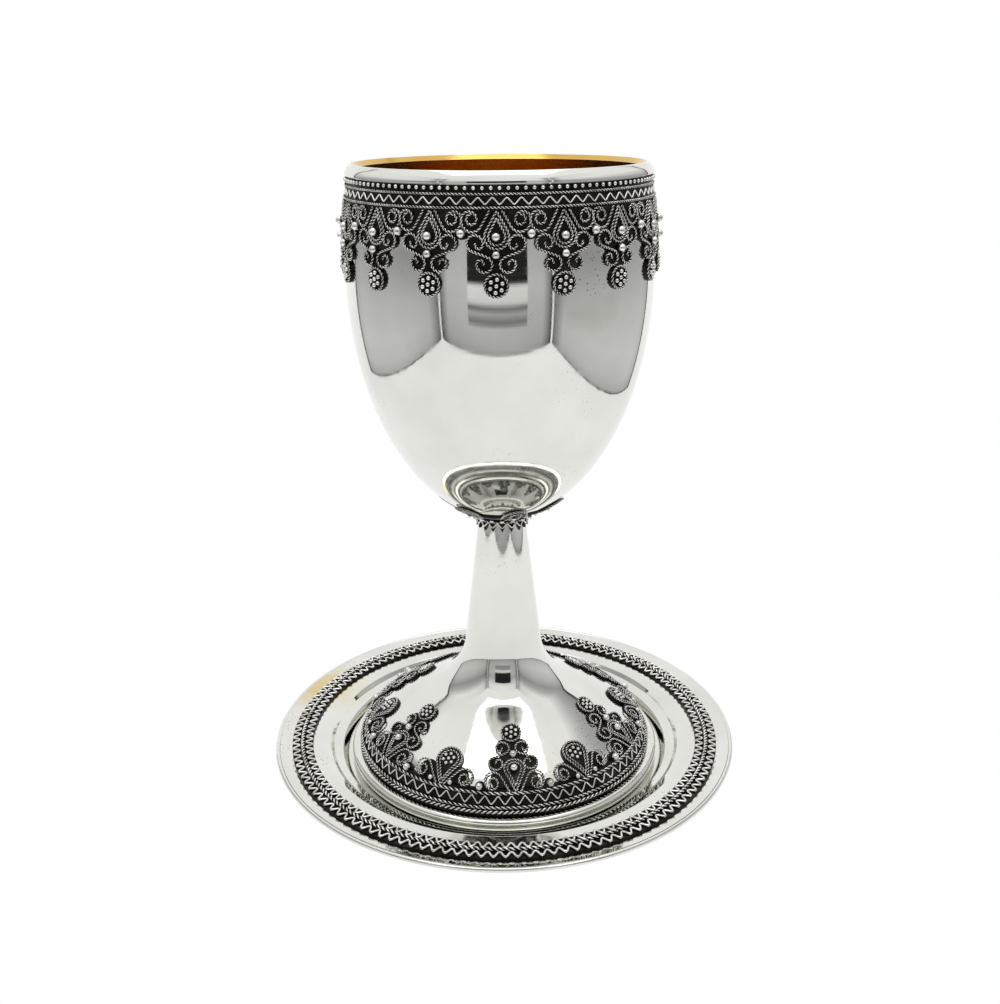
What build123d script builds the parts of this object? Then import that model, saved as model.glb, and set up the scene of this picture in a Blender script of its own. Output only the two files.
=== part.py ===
from build123d import *
import math
import os

# Goblet and saucer.  Millimetres, +Z up, origin at the middle of the saucer's underside.
# Heights on the goblet are measured from the underside of its foot.

# Overall sizes
GOBLET_HEIGHT = 150.0
BOWL_RADIUS = 35.6
FOOT_RADIUS = 38.4
SHEET = 1.0  # saucer sheet
SEAT_GAP = 0.3  # air under the foot, so the loose goblet never scrapes

# Bowl: two quarter ellipses that share the widest circle
BOWL_WIDEST = GOBLET_HEIGHT - 25.0
BOWL_DROP = 59.2
BOWL_BOTTOM = BOWL_WIDEST - BOWL_DROP
BOWL_RISE = 66.0
BOWL_WALL = 0.9
OVAL_STEPS = 8
LINING = 0.3
LIP_RING_HEIGHT = 2.4
LIP_RING_OVER = 1.25  # how far the ring stands out at its lower edge
LIP_BULGE = 0.15
LIP_EDGE = 0.6

# Stem and foot: one spun trumpet
SHOULDER_RADIUS, SHOULDER_HEIGHT = FOOT_RADIUS - 2.9, 8.7
NECK_RADIUS, NECK_HEIGHT = 10.6, 24.0
STEM_TOP_RADIUS = 5.6
STEM_TOP = BOWL_BOTTOM + 1.4  # runs into the bowl, which cuts it to fit
SHOULDER_ROUND = 10.0
NECK_ROUND = 16.0
FOOT_WALL = 0.9
BASE_RING_HEIGHT = 3.0
BASE_RING_OVER = 2.0
BASE_RING_ROUND = 1.2

# Hidden fixing inside the stem
STUD_RADIUS = 1.5
STUD_LENGTH = 6.3
STUD_FLANGE = 4.2
STUD_FLANGE_HEIGHT = 1.0
STUD_CLEARANCE = 0.1
STEM_PLATE = 1.5
WASHER_RADIUS, WASHER_HEIGHT = 3.4, 0.6
NUT_FLATS, NUT_HEIGHT = 5.5, 2.4

# Filigree
GROUND = 0.5  # dark sheet behind the wires
WIRE = 0.38  # radius of the round wires
SOLDER = 0.08  # how far a wire or granule sinks into what it is soldered to
LIFT = GROUND + WIRE - SOLDER
GRANULE = 0.46
BEAD = 0.92
SECOND_BEAD = 0.78
SMALL_BEAD = 0.6

# Bowl lace: counts follow from the pitch, rows are measured down from the lip
BOWL_ROUND = 2 * math.pi * BOWL_RADIUS
BOWL_MOTIFS = round(BOWL_ROUND / 14.0)
BOWL_BEADS = round(BOWL_ROUND / 1.79)
BOWL_ZIGZAGS = round(BOWL_ROUND / 2.98)
LACE_TOP = GOBLET_HEIGHT - 2.7
BEAD_ROW = GOBLET_HEIGHT - 3.4
BOWL_TWIST_UPPER = GOBLET_HEIGHT - 4.5
BOWL_ZIGZAG = GOBLET_HEIGHT - 5.8
BOWL_ZIGZAG_DEPTH = 1.3
BOWL_TWIST_LOWER = GOBLET_HEIGHT - 7.1
LACE_LOW = GOBLET_HEIGHT - 11.8
BOWL_TURN = -1.3  # degrees that the first motif is off the front

# One hanging motif
TEAR_TOP = GOBLET_HEIGHT - 7.7
TEAR_HEIGHT, TEAR_RADIUS, TEAR_INNER = GOBLET_HEIGHT - 12.6, 2.45, 1.65
TEAR_STEP = 1.2  # the inner drop's tip stands this far inside the outer one's
SCROLL_HEIGHT, SCROLL_SIDE = GOBLET_HEIGHT - 9.5, 3.5
SCROLL_RUN_SIDE, SCROLL_RUN_DROP = 2.9, 3.2
SCROLL_TURN, SCROLL_CURL = 1.4, 0.8
SCROLL_SWEEP, SCROLL_CURL_SWEEP = 205, 165
MIDDLE_LOOP_HEIGHT, MIDDLE_LOOP_SIDE, MIDDLE_LOOP = GOBLET_HEIGHT - 13.9, 4.35, 1.4
SECOND_BEAD_HEIGHT = GOBLET_HEIGHT - 16.1
LOWER_LOOP_HEIGHT, LOWER_LOOP_SIDE, LOWER_LOOP = GOBLET_HEIGHT - 17.9, 2.2, 1.3
MEDALLION_HEIGHT, MEDALLION = GOBLET_HEIGHT - 22.1, 2.25
MEDALLION_REACH = 1.25
BETWEEN_HEIGHT = GOBLET_HEIGHT - 12.0

# Foot lace: tall motifs with a short one between each two, above a band on the base ring
FOOT_ROUND = 2 * math.pi * FOOT_RADIUS
FOOT_MOTIFS = round(FOOT_ROUND / 40.2)
FOOT_ZIGZAGS = round(FOOT_ROUND / 3.35)
FOOT_TURN = 4.0  # degrees that the first tall motif is off the front
FOOT_TWIST = 0.48
FOOT_TWIST_LOWER = BASE_RING_HEIGHT + 0.8
FOOT_TWIST_MIDDLE = BASE_RING_HEIGHT + 1.8
FOOT_ZIGZAG = BASE_RING_HEIGHT + 3.3
FOOT_ZIGZAG_DEPTH = 1.3
FOOT_TWIST_UPPER = BASE_RING_HEIGHT + 4.6
FOOT_LACE_TOP = BASE_RING_HEIGHT + 6.3
TALL_MEDALLION_HEIGHT, TALL_MEDALLION = 16.4, 1.9
TALL_LOOP_HEIGHT, TALL_LOOP_SIDE, TALL_LOOP = 14.6, 2.2, 1.15
TALL_BEAD_HEIGHT = 13.4
TALL_MIDDLE_HEIGHT, TALL_MIDDLE_SIDE, TALL_MIDDLE = 12.0, 4.3, 1.4
TALL_TEAR_HEIGHT, TALL_TEAR_TIP = 11.3, 4.7
TALL_REACH = 1.1
FOOT_SCROLL_HEIGHT = 9.6
TALL_SCROLL_SIDE = 3.7
SHORT_DISC_HEIGHT, SHORT_DISC, SHORT_DISC_INNER = 11.8, 3.0, 2.2
SHORT_TIP = 6.0
SHORT_REACH = 1.25
SHORT_SCROLL_SIDE = 4.3
FOOT_BETWEEN_SIDE = 8.4
FOOT_BETWEEN_HEIGHT = 8.6
SHORT_BEAD_SIDE = 2.6

# Collar under the bowl
COLLAR_POINTS = 17
COLLAR_BEADS = 22
COLLAR_BEAD_HEIGHT = BOWL_BOTTOM + 1.8
COLLAR_HEIGHT = BOWL_BOTTOM + 0.2
COLLAR_SLEEVE = 3.1
PETALS = 7
PETAL_TURN = 13.0  # degrees that the first petal is off the front
PETAL_REACH = 15.6
PETAL_ROUND = 2.6
COLLAR_SCROLL = 0.95
COLLAR_SCROLL_SIDE = 1.7
PETAL_SCROLL_HEIGHT = BOWL_BOTTOM + 2.8
PETAL_BEAD_HEIGHT = BOWL_BOTTOM + 4.5
PETAL_BEAD = 0.74

# Saucer: radii and heights of the upper side, outwards from the well that the foot stands in
WELL_CLEARANCE = 1.3
WELL_RADIUS = FOOT_RADIUS + BASE_RING_OVER + WELL_CLEARANCE
LEDGE_INNER, LEDGE_INNER_HEIGHT = WELL_RADIUS + 1.1, 3.5
LEDGE_OUTER, LEDGE_OUTER_HEIGHT = LEDGE_INNER + 2.3, 4.0
STEP_INNER, STEP_INNER_HEIGHT = LEDGE_OUTER + 0.9, 5.2
STEP_OUTER, STEP_OUTER_HEIGHT = STEP_INNER + 1.9, 6.0
BAND_INNER = STEP_OUTER + 2.5
BAND_OUTER = BAND_INNER + 5.8
BAND_HEIGHT = 5.6
BAND_MARGIN = 0.2
SAUCER_RADIUS = BAND_OUTER + 2.9
RIM_HEIGHT = 6.3
SAUCER_GROUND = 0.4
SAUCER_ROUND = 1.0
EDGE_WIRE = 0.6
SAUCER_ZIGZAGS = round(2 * math.pi * BAND_OUTER / 2.76)
RIBBON = 0.5
RIBBON_HEIGHT = 1.1
ZIGZAG_DEPTH = 1.7
SAUCER_TWIST = 0.55


def spun(*curves):
    """A closed outline of radius and height, spun round the goblet's axis."""
    return revolve(Plane.XZ * make_face(list(curves)), Axis.Z)


def ring_block(inner, outer, low, high):
    return spun(Polyline((inner, low), (outer, low), (outer, high), (inner, high), close=True))


def group(shapes):
    return Compound([solid for shape in shapes for solid in shape.solids()])


def turned(shape, count, start=0.0):
    return [Rot(0, 0, start + turn * 360.0 / count) * shape for turn in range(count)]


# The two round surfaces that carry the filigree, drawn upwards

def oval(radius, rise, start, stop):
    """Part of an ellipse round the bowl's widest circle, as a smooth curve."""
    angles = [start + (stop - start) * step / OVAL_STEPS for step in range(OVAL_STEPS + 1)]
    points = [(radius * math.cos(a), BOWL_WIDEST + rise * math.sin(a)) for a in angles]
    along = [(-radius * math.sin(a), rise * math.cos(a)) for a in (start, stop)]
    return Spline(*points, tangents=along)


def bowl_curve(offset=0.0, top=GOBLET_HEIGHT):
    climb = math.asin((top - BOWL_WIDEST) / (BOWL_RISE + offset))
    lower = oval(BOWL_RADIUS + offset, BOWL_DROP + offset, -math.pi / 2, 0)
    upper = oval(BOWL_RADIUS + offset, BOWL_RISE + offset, 0, climb)
    return [lower, upper]


def bowl_solid(offset=0.0, top=GOBLET_HEIGHT):
    lower, upper = bowl_curve(offset, top)
    return spun(lower, upper, Polyline(upper @ 1, (0, top), lower @ 0))


def bowl_shell(inner, outer):
    """A skin of the bowl between two offsets from its outer face."""
    low_in, high_in = bowl_curve(inner)
    low_out, high_out = bowl_curve(outer)
    return spun(
        low_out, high_out, Line(high_out @ 1, high_in @ 1),
        high_in, low_in, Line(low_in @ 0, low_out @ 0))


def crossing(point, along, other, other_along):
    """Where two straight lines in the drawing plane meet."""
    gap = other - point
    return point + along * (gap.cross(other_along).Z / along.cross(other_along).Z)


def rounded(start, corner, end, radius):
    """Where a round of this radius leaves the first line and meets the second."""
    back = (start - corner).normalized()
    onward = (end - corner).normalized()
    reach = radius / math.tan(math.radians(back.get_angle(onward) / 2))
    return corner + back * reach, corner + onward * reach


def foot_curve(offset=0.0, low=0.0, top=STEM_TOP):
    corners = [
        Vector(FOOT_RADIUS, 0),
        Vector(SHOULDER_RADIUS, SHOULDER_HEIGHT),
        Vector(NECK_RADIUS, NECK_HEIGHT),
        Vector(STEM_TOP_RADIUS, COLLAR_HEIGHT),
    ]
    along = [(corners[i + 1] - corners[i]).normalized() for i in range(3)]
    moved = [corners[i] + Vector(along[i].Y, -along[i].X) * offset for i in range(3)]
    level = Vector(1, 0)
    start = crossing(moved[0], along[0], Vector(0, low), level)
    shoulder = crossing(moved[0], along[0], moved[1], along[1])
    neck = crossing(moved[1], along[1], moved[2], along[2])
    end = crossing(moved[2], along[2], Vector(0, top), level)
    leave, meet = rounded(start, shoulder, neck, SHOULDER_ROUND + offset)
    leave_neck, meet_neck = rounded(shoulder, neck, end, NECK_ROUND - offset)
    return [
        Line(start, leave),
        TangentArc(leave, meet, tangent=along[0]),
        Line(meet, leave_neck),
        TangentArc(leave_neck, meet_neck, tangent=along[1]),
        Line(meet_neck, end),
    ]


def foot_solid(offset=0.0, low=0.0, top=STEM_TOP):
    curve = foot_curve(offset, low, top)
    return spun(*curve, Polyline(curve[-1] @ 1, (0, top), (0, low), curve[0] @ 0))


def surface_at(curve, height):
    """Radius and outward normal of a round surface at one height."""
    for edge in curve:
        if (edge @ 1).Y >= height:
            break
    low, high = 0.0, 1.0
    for _ in range(40):
        middle = (low + high) / 2
        if (edge @ middle).Y < height:
            low = middle
        else:
            high = middle
    along = edge % low
    return (edge @ low).X, Vector(along.Y, -along.X)


def spot(curve, side, height, lift=0.0):
    """A place on a round surface: x sideways, y up the surface, z out of it."""
    radius, normal = surface_at(curve, height)
    plane = Plane(
        origin=(0, -(radius + normal.X * lift), height + normal.Y * lift),
        x_dir=(1, 0, 0),
        z_dir=(0, -normal.X, normal.Y),
    )
    return Rot(0, 0, math.degrees(side / radius)) * plane.location


# Wire shapes, drawn flat round their own middle

def wire_along(*curves):
    path = Wire(list(curves)) if len(curves) > 1 else curves[0]
    start = Plane(origin=path @ 0, z_dir=path % 0)
    return sweep(start * Circle(WIRE), path=path)


def teardrop(radius, height):
    """A drop of wire hanging from a tip this far above its round."""
    turn = math.acos(radius / height)
    side, level = radius * math.sin(turn), radius * math.cos(turn)
    keep = 1 - (WIRE + 0.05) / side
    tip = Vector(0, height)
    left, right = Vector(-side, level), Vector(side, level)
    return wire_along(
        Line(left + (tip - left) * keep, left),
        ThreePointArc(left, (0, -radius), right),
        Line(right, right + (tip - right) * keep),
    )


def scroll():
    """A straight run down and out from the tip, then two arcs that curl up and in."""
    run = Vector(SCROLL_RUN_SIDE, -SCROLL_RUN_DROP)
    start = Vector(-SCROLL_RUN_SIDE / 2 - SCROLL_TURN / 2, SCROLL_RUN_DROP / 2)
    straight = Line(start, start + run)
    outer = JernArc(straight @ 1, straight % 1, SCROLL_TURN, SCROLL_SWEEP)
    inner = JernArc(outer @ 1, outer % 1, SCROLL_CURL, SCROLL_CURL_SWEEP)
    return wire_along(straight, outer, inner)


def chevron(width, height):
    """One V of a zigzag, open towards +y."""
    return wire_along(FilletPolyline(
        (-width / 2 + WIRE + 0.04, height / 2), (0, -height / 2), (width / 2 - WIRE - 0.04, height / 2),
        radius=WIRE + 0.1,
    ))


def zigzag(curve, height, count, depth):
    radius, _ = surface_at(curve, height)
    vee = chevron(2 * math.pi * radius / count, depth)
    return group(turned(spot(curve, 0, height, LIFT) * vee, count))


def twist_ring(curve, height, thickness):
    radius, normal = surface_at(curve, height)
    lift = GROUND + thickness - SOLDER
    return Pos(0, 0, height + normal.Y * lift) * Torus(radius + normal.X * lift, thickness)


def granule_on(curve, side, height, radius, lift=GROUND):
    return spot(curve, side, height, lift + radius - SOLDER) * Sphere(radius)


def seven_granules(curve, side, height, reach):
    """One granule with six round it, as on each medallion."""
    base = spot(curve, side, height, GROUND + GRANULE - SOLDER)
    around = [Rot(0, 0, 60 * turn) * Pos(reach, 0, 0) * Sphere(GRANULE) for turn in range(6)]
    return [base * ball for ball in [Sphere(GRANULE)] + around]


def lace_ground(curve, skin, band, count, start, spine, blobs, base_height):
    """Dark sheet cut to the outline of the lace: a plain band with tongues."""
    plane = Plane(spot(curve, 0, base_height))
    def flat(side, height):
        point = plane.to_local_coords(spot(curve, side, height).position)
        return point.X, point.Y
    right = [flat(side, height) for side, height in spine]
    left = [(-x, y) for x, y in reversed(right) if x > 0.01]
    tongue = make_face(Polyline(*right, *left, close=True))
    for side, height, radius in blobs:
        for x, y in {flat(side, height), flat(-side, height)}:
            tongue += Pos(x, y) * Circle(radius)
    block = extrude(plane * tongue, 3, both=True)
    tool = ring_block(1, BOWL_RADIUS + 8, *band) + turned(block, count, start)
    return skin & tool


# Saucer

def saucer_side():
    return [
        (WELL_RADIUS, SHEET),
        (LEDGE_INNER, LEDGE_INNER_HEIGHT),
        (LEDGE_OUTER, LEDGE_OUTER_HEIGHT),
        (STEP_INNER, STEP_INNER_HEIGHT),
        (STEP_OUTER, STEP_OUTER_HEIGHT),
        (BAND_INNER, BAND_HEIGHT),
        (BAND_OUTER, BAND_HEIGHT),
        (SAUCER_RADIUS, RIM_HEIGHT),
    ]


def saucer_section():
    """The pressed sheet's section, from the axis to the rim."""
    side = saucer_side()
    upper = FilletPolyline((0, SHEET), *side, radius=SAUCER_ROUND)
    lower = FilletPolyline((0, 0), *[(r, z - SHEET) for r, z in side], radius=SAUCER_ROUND)
    return make_face([upper, Line(upper @ 1, lower @ 1), lower, Line(lower @ 0, upper @ 0)])


def star_ring(inner, outer, low, height):
    """A ribbon of metal on edge, folded in and out between two radii."""
    def star(shift):
        points = []
        for step in range(2 * SAUCER_ZIGZAGS):
            angle = math.pi * step / SAUCER_ZIGZAGS
            radius = (outer if step % 2 else inner) + shift
            points.append((radius * math.cos(angle), radius * math.sin(angle)))
        return make_face(Polyline(*points, close=True))
    ribbon = star(RIBBON / 2) - star(-RIBBON / 2)
    return extrude(Pos(0, 0, low) * ribbon, height)


def make_saucer():
    floor = BAND_HEIGHT + SAUCER_GROUND
    rim_level = RIM_HEIGHT - SHEET / 2
    margin = RIBBON / 2 + 0.15
    edge = Pos(0, 0, rim_level) * Torus(SAUCER_RADIUS + EDGE_WIRE - SOLDER, EDGE_WIRE)
    return {
        "saucer_plate": revolve(Plane.XZ * saucer_section(), Axis.Z),
        "saucer_edge_wire": edge,
        "saucer_band_ground": ring_block(
            BAND_INNER + BAND_MARGIN, BAND_OUTER - BAND_MARGIN, BAND_HEIGHT, floor),
        "saucer_twist_wire": Pos(0, 0, floor + SAUCER_TWIST - SOLDER)
        * Torus((BAND_INNER + BAND_OUTER) / 2, SAUCER_TWIST),
        "saucer_zigzag_outer": star_ring(
            BAND_OUTER - BAND_MARGIN - margin - ZIGZAG_DEPTH,
            BAND_OUTER - BAND_MARGIN - margin, floor, RIBBON_HEIGHT),
        "saucer_zigzag_inner": star_ring(
            BAND_INNER + BAND_MARGIN + margin,
            BAND_INNER + BAND_MARGIN + margin + ZIGZAG_DEPTH, floor, RIBBON_HEIGHT),
    }


# Goblet body and its hidden fixing

def lip_ring():
    low = GOBLET_HEIGHT - LIP_RING_HEIGHT
    radius, _ = surface_at(bowl_curve(), low)
    lip, _ = surface_at(bowl_curve(0, GOBLET_HEIGHT + 1), GOBLET_HEIGHT)
    inside = lip - 1
    outer = (radius + LIP_RING_OVER, low)
    top = (lip + LIP_EDGE, GOBLET_HEIGHT)
    bulge = (outer[0] - LIP_BULGE, low + LIP_RING_HEIGHT * 0.6)
    blank = spun(
        Line((inside, low), outer), ThreePointArc(outer, bulge, top),
        Polyline(top, (inside, GOBLET_HEIGHT), (inside, low)))
    return blank - bowl_solid(0, GOBLET_HEIGHT + 1)


def make_vessel():
    flange_low = BOWL_BOTTOM - STUD_FLANGE_HEIGHT
    plate_low = flange_low - STEM_PLATE
    washer_low = plate_low - WASHER_HEIGHT
    nut_low = washer_low - NUT_HEIGHT
    hole = STUD_RADIUS + STUD_CLEARANCE
    trumpet = foot_solid() - foot_solid(-FOOT_WALL, -1, plate_low) - bowl_solid()
    trumpet -= ring_block(0, STUD_FLANGE + STUD_CLEARANCE, flange_low, STEM_TOP)
    trumpet -= ring_block(0, hole, plate_low - 1, flange_low)
    stud = ring_block(0, STUD_FLANGE, flange_low, STEM_TOP) - bowl_solid()
    stud += ring_block(0, STUD_RADIUS, flange_low - STUD_LENGTH, flange_low)
    nut = extrude(Pos(0, 0, nut_low) * RegularPolygon(NUT_FLATS / 2, 6, major_radius=False), NUT_HEIGHT)
    ring = ring_block(FOOT_RADIUS - 4, FOOT_RADIUS + BASE_RING_OVER, 0, BASE_RING_HEIGHT)
    outer_edges = ring.edges().filter_by(GeomType.CIRCLE).sort_by(lambda edge: edge.radius)[-2:]
    return {
        "bowl": bowl_shell(-BOWL_WALL, 0),
        "gilt_lining": bowl_shell(-BOWL_WALL - LINING, -BOWL_WALL),
        "lip_ring": lip_ring(),
        "stem_and_foot": trumpet,
        "foot_base_ring": fillet(outer_edges, BASE_RING_ROUND) - foot_solid(0, -1),
        "bowl_stud": stud,
        "stem_washer": ring_block(hole, WASHER_RADIUS, washer_low, plate_low),
        "stem_nut": nut - ring_block(0, STUD_RADIUS, nut_low - 1, washer_low + 1),
    }


# Filigree on the bowl

def make_bowl_lace():
    curve = bowl_curve()
    tear_drop = TEAR_TOP - TEAR_HEIGHT
    radius, _ = surface_at(curve, BETWEEN_HEIGHT)
    between = math.pi * radius / BOWL_MOTIFS
    spine = [
        (between - 0.6, LACE_LOW + 0.4),
        (MIDDLE_LOOP_SIDE, MIDDLE_LOOP_HEIGHT - 1),
        (0, MEDALLION_HEIGHT),
    ]
    blobs = [
        (between, BETWEEN_HEIGHT, BEAD + 0.3),
        (MIDDLE_LOOP_SIDE, MIDDLE_LOOP_HEIGHT, MIDDLE_LOOP + WIRE),
        (LOWER_LOOP_SIDE, LOWER_LOOP_HEIGHT, LOWER_LOOP + WIRE),
        (0, MEDALLION_HEIGHT, MEDALLION + WIRE),
    ]
    def ring_pair(side, height, size):
        return [spot(curve, way * side, height, LIFT) * Torus(size, WIRE) for way in (-1, 1)]
    def repeat(shapes):
        return group([copy for shape in shapes for copy in turned(shape, BOWL_MOTIFS, BOWL_TURN)])
    drops = [
        spot(curve, 0, TEAR_HEIGHT, LIFT) * teardrop(TEAR_RADIUS, tear_drop),
        spot(curve, 0, TEAR_HEIGHT, LIFT) * teardrop(TEAR_INNER, tear_drop - TEAR_STEP),
    ]
    curls = [
        spot(curve, SCROLL_SIDE, SCROLL_HEIGHT, LIFT) * scroll(),
        spot(curve, -SCROLL_SIDE, SCROLL_HEIGHT, LIFT) * mirror(scroll(), Plane.YZ),
    ]
    beads = [
        granule_on(curve, 0, TEAR_HEIGHT, BEAD),
        granule_on(curve, 0, SECOND_BEAD_HEIGHT, SECOND_BEAD),
        granule_on(curve, between, BETWEEN_HEIGHT, BEAD),
    ]
    return {
        "bowl_lace_ground": lace_ground(
            curve, bowl_shell(0, GROUND), (LACE_LOW, LACE_TOP), BOWL_MOTIFS, BOWL_TURN, spine, blobs, TEAR_HEIGHT),
        "bowl_bead_row": group(turned(granule_on(curve, 0, BEAD_ROW, GRANULE), BOWL_BEADS)),
        "bowl_twist_wire_upper": twist_ring(curve, BOWL_TWIST_UPPER, WIRE),
        "bowl_zigzag_wire": zigzag(curve, BOWL_ZIGZAG, BOWL_ZIGZAGS, BOWL_ZIGZAG_DEPTH),
        "bowl_twist_wire_lower": twist_ring(curve, BOWL_TWIST_LOWER, WIRE),
        "bowl_teardrop_wires": repeat(drops),
        "bowl_scroll_wires": repeat(curls),
        "bowl_middle_loops": repeat(ring_pair(MIDDLE_LOOP_SIDE, MIDDLE_LOOP_HEIGHT, MIDDLE_LOOP)),
        "bowl_lower_loops": repeat(ring_pair(LOWER_LOOP_SIDE, LOWER_LOOP_HEIGHT, LOWER_LOOP)),
        "bowl_medallion_rings": repeat([spot(curve, 0, MEDALLION_HEIGHT, LIFT) * Torus(MEDALLION, WIRE)]),
        "bowl_medallion_granules": repeat(seven_granules(curve, 0, MEDALLION_HEIGHT, MEDALLION_REACH)),
        "bowl_motif_beads": repeat(beads),
    }


# Filigree on the foot

def make_foot_lace():
    curve = foot_curve()
    half_turn = 180.0 / FOOT_MOTIFS
    def repeat(shapes, start=FOOT_TURN):
        return [copy for shape in shapes for copy in turned(shape, FOOT_MOTIFS, start)]
    def ring_pair(side, height, size):
        return [spot(curve, way * side, height, LIFT) * Torus(size, WIRE) for way in (-1, 1)]
    def scroll_pair(side):
        upside_down = Rot(0, 0, 180) * scroll()
        return [
            spot(curve, -side, FOOT_SCROLL_HEIGHT, LIFT) * upside_down,
            spot(curve, side, FOOT_SCROLL_HEIGHT, LIFT) * mirror(upside_down, Plane.YZ),
        ]
    def drop_pair(height, tip, outer, inner):
        place = spot(curve, 0, height, LIFT)
        return [place * Rot(0, 0, 180) * teardrop(size, tip - cut)
                for size, cut in ((outer, 0), (inner, TEAR_STEP))]
    tall_spine = [
        (TALL_SCROLL_SIDE + 2, FOOT_LACE_TOP - 1),
        (TALL_SCROLL_SIDE, FOOT_LACE_TOP + 1.2),
        (TALL_MIDDLE_SIDE, TALL_MIDDLE_HEIGHT),
        (0, TALL_MEDALLION_HEIGHT),
    ]
    tall_blobs = [
        (TALL_SCROLL_SIDE, FOOT_SCROLL_HEIGHT + 0.4, SCROLL_TURN + WIRE + 0.3),
        (TALL_MIDDLE_SIDE, TALL_MIDDLE_HEIGHT, TALL_MIDDLE + WIRE),
        (TALL_LOOP_SIDE, TALL_LOOP_HEIGHT, TALL_LOOP + WIRE),
        (0, TALL_MEDALLION_HEIGHT, TALL_MEDALLION + WIRE),
        (FOOT_BETWEEN_SIDE, FOOT_BETWEEN_HEIGHT, BEAD + 0.3),
    ]
    short_spine = [
        (SHORT_SCROLL_SIDE + 2, FOOT_LACE_TOP - 1),
        (SHORT_SCROLL_SIDE, FOOT_LACE_TOP + 1.2),
        (0, SHORT_DISC_HEIGHT),
    ]
    short_blobs = [
        (SHORT_SCROLL_SIDE, FOOT_SCROLL_HEIGHT + 0.4, SCROLL_TURN + WIRE + 0.3),
        (0, SHORT_DISC_HEIGHT, SHORT_DISC + WIRE),
    ]
    band = (BASE_RING_HEIGHT, FOOT_LACE_TOP - 0.6)
    skin = foot_solid(GROUND) - foot_solid()
    tall = lace_ground(
        curve, skin, band, FOOT_MOTIFS, FOOT_TURN, tall_spine, tall_blobs, TALL_MIDDLE_HEIGHT)
    short = lace_ground(
        curve, skin, band, FOOT_MOTIFS, FOOT_TURN + half_turn, short_spine, short_blobs,
        SHORT_DISC_HEIGHT)
    beads = repeat([
        granule_on(curve, 0, TALL_TEAR_HEIGHT, BEAD),
        granule_on(curve, 0, TALL_BEAD_HEIGHT, SECOND_BEAD),
        granule_on(curve, FOOT_BETWEEN_SIDE, FOOT_BETWEEN_HEIGHT, BEAD),
        granule_on(curve, -FOOT_BETWEEN_SIDE, FOOT_BETWEEN_HEIGHT, BEAD),
    ])
    beads += repeat([
        granule_on(curve, way * SHORT_BEAD_SIDE, FOOT_BETWEEN_HEIGHT, SMALL_BEAD) for way in (-1, 1)
    ], FOOT_TURN + half_turn)
    return {
        "foot_lace_ground": tall + short,
        "foot_twist_wire_upper": twist_ring(curve, FOOT_TWIST_UPPER, WIRE),
        "foot_zigzag_wire": zigzag(curve, FOOT_ZIGZAG, FOOT_ZIGZAGS, FOOT_ZIGZAG_DEPTH),
        "foot_twist_wire_middle": twist_ring(curve, FOOT_TWIST_MIDDLE, FOOT_TWIST),
        "foot_twist_wire_lower": twist_ring(curve, FOOT_TWIST_LOWER, FOOT_TWIST),
        "foot_tall_teardrops": group(repeat(
            drop_pair(TALL_TEAR_HEIGHT, TALL_TEAR_TIP, TEAR_RADIUS, TEAR_INNER))),
        "foot_tall_scrolls": group(repeat(scroll_pair(TALL_SCROLL_SIDE))),
        "foot_tall_loops": group(repeat(
            ring_pair(TALL_MIDDLE_SIDE, TALL_MIDDLE_HEIGHT, TALL_MIDDLE)
            + ring_pair(TALL_LOOP_SIDE, TALL_LOOP_HEIGHT, TALL_LOOP))),
        "foot_tall_medallion_rings": group(repeat(
            [spot(curve, 0, TALL_MEDALLION_HEIGHT, LIFT) * Torus(TALL_MEDALLION, WIRE)])),
        "foot_short_teardrops": group(repeat(
            drop_pair(SHORT_DISC_HEIGHT, SHORT_TIP, SHORT_DISC, SHORT_DISC_INNER),
            FOOT_TURN + half_turn)),
        "foot_short_scrolls": group(repeat(scroll_pair(SHORT_SCROLL_SIDE), FOOT_TURN + half_turn)),
        "foot_granules": group(
            repeat(seven_granules(curve, 0, TALL_MEDALLION_HEIGHT, TALL_REACH))
            + repeat(seven_granules(curve, 0, SHORT_DISC_HEIGHT, SHORT_REACH), FOOT_TURN + half_turn)),
        "foot_motif_beads": group(beads),
    }


# Collar where the bowl meets the stem

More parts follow.
